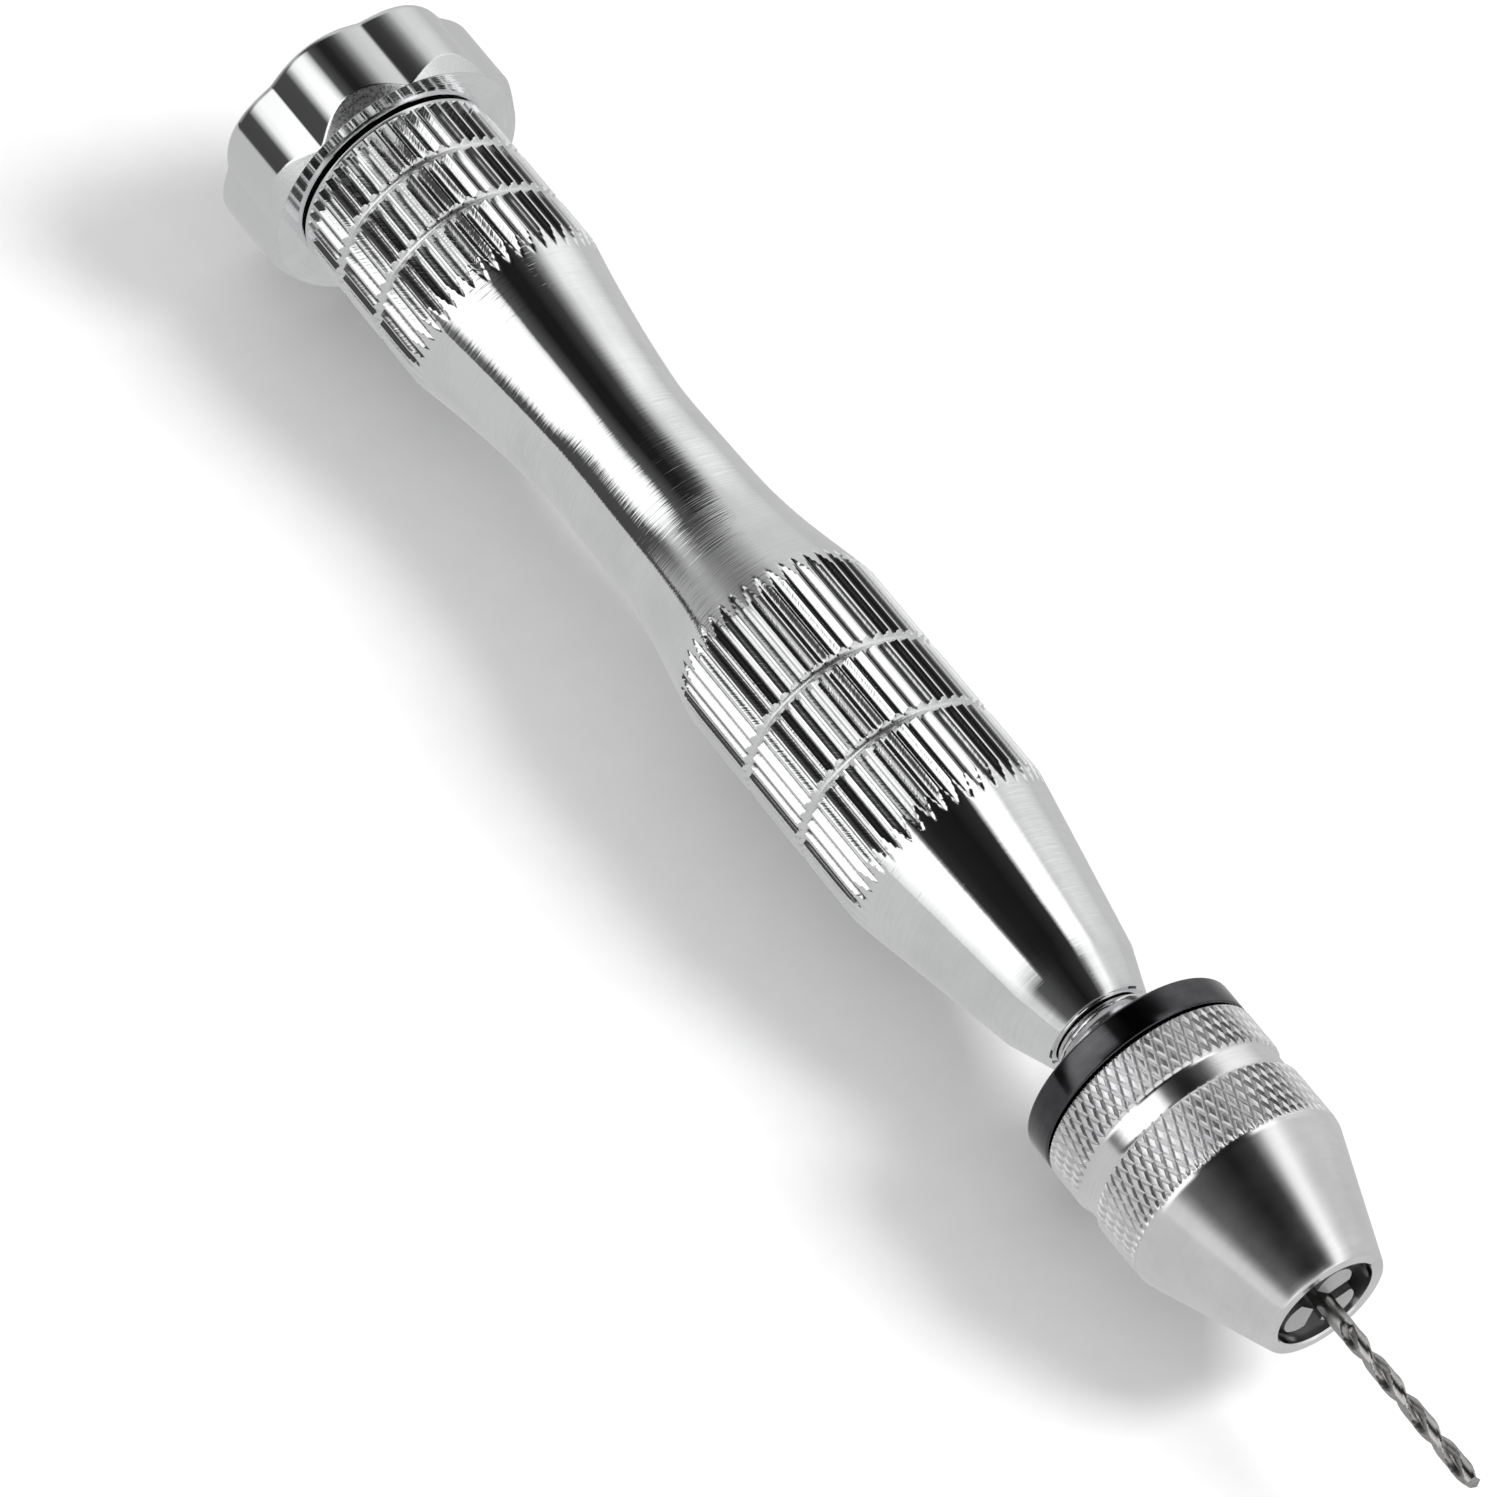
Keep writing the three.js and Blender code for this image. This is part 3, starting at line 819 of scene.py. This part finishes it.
            # Groove mark: the colour is darkened towards the flute bottoms, by their depth.
            groove = np.clip(rounded / self.flute_depth, 0, 1) * flutes * self.flute_darkening
            satin = np.zeros(len(angles))
            for place in self.grooves:
                share = (station - place) / self.groove_half_width
                if abs(share) < 1:
                    floor = self.radius - self.groove_depth * math.sqrt(1 - share * share)
                    satin = np.maximum(satin, (radius > floor) * 1.0)
                    groove = np.where(radius > floor, 0.0, groove)
                    radius = np.minimum(radius, floor)
            skin.ring(station, radius, groove=groove, satin=satin)
        skin.rings([(self.end - 0.08, self.tip_radius + 0.02), (self.end, self.tip_radius - 0.12)])
        skin.rings(self.front_bore)
        return skin.build(crease=22)

    def build(self) -> None:
        """Builds the barrel."""
        fit_piece(self.barrel(), "handle", Finish.POLISHED_ALUMINIUM, "handle")


@dataclass
class Neck:
    """The threaded stud between the handle and the chuck."""

    start: float = 72.0
    shoulder: float = 81.8
    end: float = 89.4
    rear_radius: float = 2.5
    crest: float = 3.45
    root: float = 3.0
    front_radius: float = 3.2
    pitch: float = 1.0
    flank_gain: float = 1.35
    root_flat: float = 0.2
    # How much the colour is darkened at the thread's roots.
    root_darkening: float = 0.5
    run_in: float = 0.4
    ring_step: float = 0.05
    bore: float = 1.7
    thread_end: float = 85.0

    def stud(self) -> bpy.types.Object:
        """Builds the stud with a right-hand helical thread where it shows.

        Returns:
            The stud.
        """
        angles = columns(72)
        skin = Skin("neck_stud", angles, looped=True)
        skin.rings([(self.start, self.bore), (self.start, self.rear_radius - 0.1),
                    (self.start + 0.1, self.rear_radius), (self.shoulder - 0.02, self.rear_radius)])
        for station in np.arange(self.shoulder, self.thread_end, self.ring_step):
            turn = station / self.pitch - angles / (2 * math.pi)
            height = np.clip(saw(turn) * self.flank_gain - self.root_flat, 0, 1) ** 0.8
            fade = smooth_step(station, self.shoulder, self.shoulder + self.run_in)
            rise = (self.crest - self.root) * height * fade
            # Groove mark: the colour is darkened at the thread's roots.
            skin.ring(station, self.root + rise, groove=self.root_darkening * (1 - height))
        skin.rings([(self.thread_end + 0.1, self.front_radius), (self.end - 0.2, self.front_radius),
                    (self.end, self.root), (self.end, self.bore)])
        return skin.build(crease=28)

    def build(self) -> None:
        """Builds the stud."""
        fit_piece(self.stud(), "handle", Finish.CHROME_PLATE, "chuck_stud")


@dataclass
class Chuck:
    """The keyless chuck: dark rear ring, turning sleeve, and three jaws round the drill.

    The knurl is two sets of helical cuts that cross and leave domed diamonds. Each start and
    each lead of it is split into cells, the steps of the mesh.
    """

    ring_start: float = 84.6
    ring_end: float = 86.65
    ring_inner: float = 5.6
    ring_outer: float = 7.27
    ring_rounds: Span = (0.22, 0.14)
    start: float = 86.8
    end: float = 104.0
    knurl_radius: float = 7.3
    knurl_depth: float = 0.16
    knurl_starts: int = 66
    knurl_lead: float = 1.68
    knurl_land: float = 0.55
    knurl_dome: float = 0.22
    knurl_end: float = 95.6
    knurl_fade: Span = (95.55, 95.15)
    # How much the colour is darkened in the knurl's valleys.
    knurl_darkening: float = 0.15
    knurl_satin: float = 0.7
    cells: int = 12
    rear_edge: float = 0.2
    band_start: float = 89.9
    band_end: float = 91.4
    band_radius: float = 7.05
    band_chamfer: float = 0.22
    shoulder_start: float = 95.25
    shoulder_end: Point = (95.68, 7.24)
    shoulder_corner: Point = (95.85, 7.2)
    cone_start: float = 96.0
    cone_radius: float = 7.13
    cone_end: float = 103.8
    nose_radius: float = 4.17
    mouth_radius: float = 3.33
    rear_bore: float = 6.3
    rear_face: float = 6.6
    inside: Outline = ((103.4, 3.33), (99.6, 4.8), (98.0, 5.0), (97.95, 5.45), (96.0, 6.3))
    jaw_round: float = 0.06

    def rear_ring(self) -> bpy.types.Object:
        """Builds the glossy ring behind the sleeve, with small rounds on its edges.

        Returns:
            The ring.
        """
        skin = Skin("chuck_rear_ring", columns(180), looped=True)
        skin.rings([(self.ring_end, self.ring_inner), (self.ring_start, self.ring_inner),
                    (self.ring_start, self.ring_inner + 0.2)])
        skin.rings(fillet(self.ring_start, self.ring_outer, self.ring_rounds[0], 1, steps=5))
        skin.rings(fillet(self.ring_end, self.ring_outer, self.ring_rounds[1], -1, outward=False))
        return skin.build(crease=35)

    def knurl(self, station: float, angles: np.ndarray) -> tuple[np.ndarray, np.ndarray]:
        """Works out the diamond knurl at one station.

        Args:
            station: place along the axis.
            angles: the column angles.

        Returns:
            The depth below the crests as a share from 0 to 1, and each face's split.
        """
        around = angles * self.knurl_starts / (2 * math.pi)
        along = station / self.knurl_lead
        deepest = np.maximum(saw(around + along), saw(around - along))
        valley = np.clip((deepest - self.knurl_land) / (1 - self.knurl_land), 0, 1)
        depth = self.knurl_dome * deepest**2 + (1 - self.knurl_dome) * valley
        right, left = saw(around + along + 1 / self.cells), saw(around - along)
        split = np.where(right > left, Diagonal.BACKWARD.value, Diagonal.FORWARD.value)
        return depth, split

    def sleeve(self) -> bpy.types.Object:
        """Builds the sleeve: two diamond-knurled bands, a plain band and a tapered nose.

        Returns:
            The sleeve.
        """
        angles = columns(self.knurl_starts * self.cells)
        skin = Skin("chuck_sleeve_shell", angles, looped=True)
        skin.rings([(self.start, self.rear_bore), (self.start, self.rear_face)])
        for station in np.arange(self.start, self.knurl_end, self.knurl_lead / self.cells):
            depth, split = self.knurl(station, angles)
            outer = self.envelope(station)
            fade = float(smooth_step(station, *self.knurl_fade))
            cut = self.knurl_radius - self.knurl_depth * fade * depth
            radius = np.minimum(outer, np.maximum(cut, self.band_radius))
            knurled = float(outer > self.band_radius + 0.05)
            # Groove mark: the colour is darkened in the knurl's valleys, by depth.
            skin.ring(station, radius, split=split, groove=depth**2 * fade * knurled * self.knurl_darkening,
                      satin=self.knurl_satin * fade * knurled)
        skin.rings(bend(self.shoulder_end, self.shoulder_corner, (self.cone_start, self.cone_radius), 5))
        for share in np.linspace(0.04, 1, 12):
            skin.ring(self.cone_start + share * (self.cone_end - self.cone_start),
                      self.cone_radius + share * (self.nose_radius - self.cone_radius))
        skin.rings([(self.end - 0.06, self.nose_radius - 0.09), (self.end, self.nose_radius - 0.2),
                    (self.end, self.mouth_radius + 0.12), (self.end - 0.12, self.mouth_radius)])
        skin.rings(self.inside)
        return skin.build(crease=26)

    def envelope(self, station: float) -> float:
        """Works out the sleeve's outside over the knurl's crests, with its plain band.

        Args:
            station: place along the axis.

        Returns:
            The radius there.
        """
        ends = [
            (self.start, self.knurl_radius - self.rear_edge), (self.start + 0.15, self.knurl_radius),
            (self.band_start - self.band_chamfer, self.knurl_radius),
            (self.band_start, self.band_radius), (self.band_end, self.band_radius),
            (self.band_end + self.band_chamfer, self.knurl_radius),
            (self.shoulder_start, self.knurl_radius), self.shoulder_end,
        ]
        return float(np.interp(station, *zip(*ends)))

    def jaws(self) -> None:
        """Softens the three CAD jaws' edges a little and dresses them."""
        for number in (1, 2, 3):
            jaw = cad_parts[f"jaw_{number}"]
            weld = jaw.modifiers.new("joined_corners", "WELD")
            weld.merge_threshold = 0.001 * MM
            bevel = jaw.modifiers.new("soft_edges", "BEVEL")
            bevel.width = self.jaw_round * MM
            bevel.segments = 2
            bevel.limit_method = "ANGLE"
            bevel.angle_limit = math.radians(40)
            dress(jaw, Finish.JAW_STEEL)
            LOG.info("piece %s: CAD node with softened edges", jaw.name)

    def build(self) -> None:
        """Builds the ring, the sleeve and the jaws."""
        fit_piece(self.rear_ring(), "handle", Finish.BLACK_CHROME, "rear_ring")
        fit_piece(self.sleeve(), "sleeve", Finish.CHROME_PLATE, "chuck_sleeve")
        self.jaws()


@dataclass
class TwistDrill:
    """A two-flute right-hand twist drill on a plain shank.

    Each flute and its land share half a turn. The flute's two sides are shares of its width: a
    steep one, and a shallow one that rises to the next land.
    """

    start: float = 84.2
    end: float = 118.2
    radius: float = 0.6
    flute_start: float = 105.6
    flute_reference: float = 106.5
    run_out: float = 0.9
    lead: float = 6.55
    web: float = 0.2
    land: float = 0.46
    margin: float = 0.1
    clearance: float = 0.02
    steep_side: float = 0.12
    shallow_side: float = 0.5
    ring_step: float = 0.09
    point_angle: float = 118.0
    # How much the colour is darkened in the flutes.
    flute_darkening: float = 0.6

    def cross_section(self, station: float, angles: np.ndarray) -> np.ndarray:
        """Works out the fluted outline, with a narrow margin in front of each flute.

        Args:
            station: place along the axis.
            angles: the column angles.

        Returns:
            The drill's radius at each angle.
        """
        turn = (angles / math.pi - 2 * (station - self.flute_reference) / self.lead) % 1.0
        across = np.clip((turn - self.land) / (1 - self.land), 0, 1)
        steep = np.clip((1 - across) / self.steep_side, 0, 1)
        hollow = steep * np.clip(across / self.shallow_side, 0, 1) ** 0.7
        relief = np.where((turn > self.margin) & (turn < self.land), self.clearance, 0.0)
        return self.radius - relief - (self.radius - self.web) * hollow

    def body(self) -> bpy.types.Object:
        """Builds the drill with its flutes and its ground point.

        Returns:
            The drill.
        """
        angles = columns(96)
        skin = Skin("twist_drill", angles)
        skin.rings([(self.start, 0.0), (self.start, self.radius - 0.1), (self.start + 0.1, self.radius)])
        for station in np.linspace(self.start + 1, self.flute_start - 0.05, 20):
            skin.ring(station, self.radius)
        slope = math.tan(math.radians(self.point_angle / 2))
        shoulder = self.end - self.radius / slope
        fluted_part = np.arange(self.flute_start, shoulder - 0.02, self.ring_step)
        point_part = np.linspace(shoulder, self.end - 0.01, 14)
        for station in (*fluted_part, *point_part):
            run_out = smooth_step(station, self.flute_start, self.flute_start + self.run_out)
            fluted = self.cross_section(station, angles)
            radius = self.radius + (fluted - self.radius) * run_out
            radius = np.minimum(radius, (self.end - station) * slope)
            # Groove mark: the colour is darkened in the flutes, by depth.
            groove = np.clip((self.radius - 0.03 - radius) / 0.3, 0, 1) * (station < shoulder)
            skin.ring(station, radius, groove=groove * self.flute_darkening)
        skin.ring(self.end, 0.0)
        return skin.build(crease=32)

    def build(self) -> None:
        """Builds the drill."""
        fit_piece(self.body(), "drill", Finish.HIGH_SPEED_STEEL, "drill_bit")


@dataclass
class Innards:
    """The CAD nodes inside the tool, which keep their shapes and get their finishes."""

    steel: tuple[str, ...] = ("pivot_screw", "wave_washer", "chuck_body", "race_rear", "race_front")
    brass: tuple[str, ...] = ("pivot_bush", "nut_half_left", "nut_half_right", "ball_cage")
    nylon: tuple[str, ...] = ("thrust_washer",)
    balls: int = 8

    def build(self) -> None:
        """Dresses each node in place."""
        balls = tuple(f"race_ball_{number + 1}" for number in range(self.balls))
        groups = (
            (self.steel + balls, Finish.BEARING_STEEL),
            (self.brass, Finish.BRASS),
            (self.nylon, Finish.NYLON),
        )
        for names, finish in groups:
            for name in names:
                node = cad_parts[name]
                dress(node, finish)
                LOG.info("piece %s: CAD node in %s", name, finish.value.name)


# ------------------------------------------------------------------------------------ studio

Glow = tuple[tuple[float, float], ...]
REAR_GLOW: Glow = (
    (-90, 0.6), (-30, 0.55), (-10, 0.4), (5, 0.28), (21, 0.24), (37, 0.3), (52, 0.38), (90, 0.45))
FLAG_GLOW: Glow = (
    (-90, 0.6), (-75, 0.82), (-56, 0.95), (-44, 0.85), (-38, 0.6), (-29, 0.2), (-22, 0.05),
    (-6, 0.012), (6, 0.012), (13, 0.05), (22, 0.1))
NOSE_GLOW: Glow = (
    (-90, 0.6), (-60, 0.75), (-47, 0.66), (-41, 1.2), (-19, 1.2), (-16, 0.4), (-14, 0.03), (5, 0.01),
    (29, 0.014), (42, 0.03), (45, 0.25), (47, 1.2), (77, 1.2), (90, 0.8))
CHUCK_GLOW: Glow = (
    (-90, 0.52), (-60, 0.55), (-48, 0.76), (-38, 1.1), (-29, 0.92), (-20, 0.23), (-12, 0.034),
    (13, 0.01), (29, 0.028), (45, 0.07), (61, 0.1), (69, 0.28), (77, 0.63), (90, 0.7))


@dataclass(frozen=True)
class GlowRow:
    """How a row of the light tunnel glows, at one place along the tool.

    The glow is given as (angle, glow) points. Angles are in degrees around the tool's axis,
    0 straight up, 90 level with the floor on the -Y side and -90 level with it on the +Y side.
    """

    x: float
    glow: Glow

    def at(self, angles: np.ndarray) -> np.ndarray:
        """The glow at each angle."""
        return np.interp(angles, [point[0] for point in self.glow], [point[1] for point in self.glow])


@dataclass
class Studio:
    """The floor, the light and the camera.

    The light tunnel is a long arch over the tool, in rows along it, and the grey card lies under
    the tool. Both show only in reflections. A dark flag runs along the tunnel's top between two
    soft boxes, and it is paler at the tunnel's two ends.
    """

    rows: tuple[GlowRow, ...] = (
        GlowRow(-1.10, REAR_GLOW),
        GlowRow(-0.62, REAR_GLOW),
        GlowRow(-0.47, ((-90, 0.6), (-60, 0.65), (-30, 0.65), (-20, 0.55), (-12, 0.37), (-3, 0.21),
                        (5, 0.11), (13, 0.06), (29, 0.06), (37, 0.14), (45, 0.46), (53, 0.51),
                        (61, 0.28), (69, 0.12), (77, 0.18), (90, 0.35))),
        GlowRow(-0.42, ((-90, 0.6), (-60, 0.7), (-38, 0.62), (-26, 0.3), (-17, 0.08), (-3, 0.03),
                        (6, 0.03), (13, 0.05), (28, 0.08), (34, 0.5), (40, 0.9), (50, 0.9), (57, 0.5),
                        (62, 0.12), (70, 0.07), (90, 0.07))),
        GlowRow(-0.35, ((-90, 0.6), (-70, 0.78), (-50, 0.8), (-38, 0.6), (-29, 0.22), (-21, 0.05),
                        (-6, 0.012), (6, 0.012), (13, 0.05), (24, 0.1), (29, 0.9), (36, 1.3),
                        (58, 1.3), (64, 0.6), (68, 0.07), (90, 0.06))),
        GlowRow(-0.28, (*FLAG_GLOW, (26, 0.9), (33, 1.3), (67, 1.3), (73, 0.6), (77, 0.07),
                        (90, 0.06))),
        GlowRow(-0.20, (*FLAG_GLOW, (25, 0.9), (31, 1.3), (72, 1.3), (78, 0.7), (82, 0.07),
                        (90, 0.06))),
        GlowRow(-0.12, (*FLAG_GLOW, (25, 0.9), (31, 1.3), (76, 1.3), (82, 0.7), (85, 0.2),
                        (90, 0.2))),
        GlowRow(-0.08, NOSE_GLOW),
        GlowRow(0.00, NOSE_GLOW),
        GlowRow(0.14, CHUCK_GLOW),
        GlowRow(0.30, CHUCK_GLOW),
        GlowRow(0.45, ((-90, 0.6), (-40, 1.0), (-12, 0.9), (10, 0.4), (30, 0.5), (60, 1.0), (90, 0.8))),
        GlowRow(0.80, ((-90, 0.6), (-40, 1.1), (-12, 1.0), (10, 0.9), (30, 0.9), (60, 1.1), (90, 0.8))),
    )
    reach: float = 0.5
    tunnel_edge: float = 91.5
    strips: int = 183
    card_glow: float = 0.56
    strip_glow: float = 0.07
    card_across: tuple[float, ...] = (-0.55, -0.11, -0.08, 0.0, 0.55)
    card_along: tuple[float, ...] = (-1.1, -0.66, -0.6, -0.14, -0.1, 0.8)
    strip_share: tuple[float, ...] = (0.0, 0.0, 1.0, 1.0, 0.0, 0.0)
    strip_side: float = -0.1
    floor_half: float = 4.0
    sky: float = 0.8
    key_power: float = 5.5
    key_size: float = 0.3
    key_place: Place = (0.34, 0.48, 0.62)
    lens: float = 187.2
    sensor: float = 36.0
    camera_turn: float = -43.369
    camera_rise: float = 51.089
    camera_roll: float = 11.283
    camera_distance: float = 0.46575
    camera_aim: Point = (-0.004678, -0.006179)

    def glow_material(self) -> bpy.types.Material:
        """Makes a plain light whose strength is the mesh's glow mark.

        Returns:
            The glowing material.
        """
        bench = NodeBench("panel_glow")
        bench.tree.nodes.remove(bench.shader)
        light = bench.add("ShaderNodeEmission", {"Strength": bench.mark("glow")})
        output = bench.tree.nodes["Material Output"]
        bench.join(light.outputs[0], output.inputs["Surface"])
        return bench.material

    def add_panel(self, name: str, places: np.ndarray, glow: np.ndarray,
                  material: bpy.types.Material) -> None:
        """Builds a sheet that glows and shows only in reflections.

        Args:
            name: the sheet's name.
            places: its points, as rows and columns of (x, y, z) in metres.
            glow: how bright it is at each point.
            material: the glowing material.
        """
        numbers = np.arange(glow.size).reshape(glow.shape)
        corners = (numbers[:-1, :-1], numbers[:-1, 1:], numbers[1:, 1:], numbers[1:, :-1])
        faces = np.stack(corners, axis=-1).reshape(-1, 4)
        mesh = bpy.data.meshes.new(name)
        mesh.from_pydata(places.reshape(-1, 3).tolist(), [], faces.tolist())
        layer = mesh.attributes.new("glow", "FLOAT", "POINT")
        layer.data.foreach_set("value", glow.reshape(-1).astype(np.float32))
        mesh.materials.append(material)
        thing = bpy.data.objects.new(name, mesh)
        bpy.context.scene.collection.objects.link(thing)
        thing.visible_camera = False
        thing.visible_diffuse = False
        thing.visible_shadow = False
        LOG.info("studio panel %s", name)

    def add_panels(self) -> None:
        """Builds the light tunnel over the tool and the grey card under it."""
        material = self.glow_material()
        angles = np.linspace(-self.tunnel_edge, self.tunnel_edge, self.strips + 1)
        turns = np.radians(angles)
        glow = np.array([row.at(angles) for row in self.rows])
        places = np.array([
            np.stack([np.full(len(turns), row.x), -self.reach * np.sin(turns),
                      AXIS_HEIGHT + self.reach * np.cos(turns)], axis=-1)
            for row in self.rows])
        self.add_panel("light_tunnel", places, glow, material)
        height = CAD_BOX[0].z - 0.01 * MM
        places = np.array([[(x, y, height) for y in self.card_across] for x in self.card_along])
        strip = np.outer(self.strip_share, np.array(self.card_across) < self.strip_side)
        glow = self.card_glow + (self.strip_glow - self.card_glow) * strip
        self.add_panel("grey_card", places, glow, material)

    def add_floor(self) -> None:
        """Lays the pale floor."""
        half = self.floor_half
        mesh = bpy.data.meshes.new("studio_floor")
        mesh.from_pydata([(-half, -half, 0), (half, -half, 0), (half, half, 0), (-half, half, 0)],
                         [], [[0, 1, 2, 3]])
        paper = PalePaper("pale_paper", (0.86, 0.86, 0.86), (0.84, 0.84, 0.84))
        mesh.materials.append(paper.make())
        floor = bpy.data.objects.new("studio_floor", mesh)
        bpy.context.scene.collection.objects.link(floor)
        floor.location.z = CAD_BOX[0].z - 0.02 * MM

    def add_light(self) -> None:
        """Sets the even sky and one large soft light."""
        world = bpy.data.worlds.new("studio_air")
        bpy.context.scene.world = world
        world.use_nodes = True
        air = world.node_tree.nodes["Background"]
        air.inputs["Color"].default_value = (1, 1, 1, 1)
        air.inputs["Strength"].default_value = self.sky
        lamp = bpy.data.lights.new("key_light", "AREA")
        lamp.shape = "SQUARE"
        lamp.size = self.key_size
        lamp.energy = self.key_power
        key = bpy.data.objects.new("key_light", lamp)
        bpy.context.scene.collection.objects.link(key)
        key.location = Vector(self.key_place)
        key.rotation_euler = (-key.location).to_track_quat("-Z", "Y").to_euler()
        key.visible_glossy = False

    def add_camera(self) -> None:
        """Places the camera ahead of the tool and above it, looking back along its length.

        Its turn is measured from +X towards +Y and its rise from the floor, both in degrees, and
        the aim is the point that it looks at, at the height of the tool's axis.
        """
        lens = bpy.data.cameras.new("camera")
        lens.lens = self.lens
        lens.sensor_width = self.sensor
        lens.clip_start = 0.01
        lens.clip_end = 50.0
        camera = bpy.data.objects.new("camera", lens)
        bpy.context.scene.collection.objects.link(camera)
        camera.matrix_world = (
            Matrix.Translation((*self.camera_aim, AXIS_HEIGHT))
            @ Matrix.Rotation(math.radians(90 + self.camera_turn), 4, "Z")
            @ Matrix.Rotation(math.radians(90 - self.camera_rise), 4, "X")
            @ Matrix.Rotation(math.radians(self.camera_roll), 4, "Z")
            @ Matrix.Translation((0, 0, self.camera_distance)))
        bpy.context.scene.camera = camera

    def build(self) -> None:
        """Sets up the whole studio."""
        self.add_panels()
        self.add_floor()
        self.add_light()
        self.add_camera()
        view = bpy.context.scene.view_settings
        view.view_transform = "Standard"
        view.look = "None"


def main() -> None:
    """Builds every sub-assembly in order, then the studio."""
    logging.basicConfig(level=logging.INFO, format="%(name)s: %(message)s")
    for part in (PalmCap(), Handle(), Neck(), Chuck(), TwistDrill(), Innards(), Studio()):
        part.build()


if __name__ == "__main__":
    main()
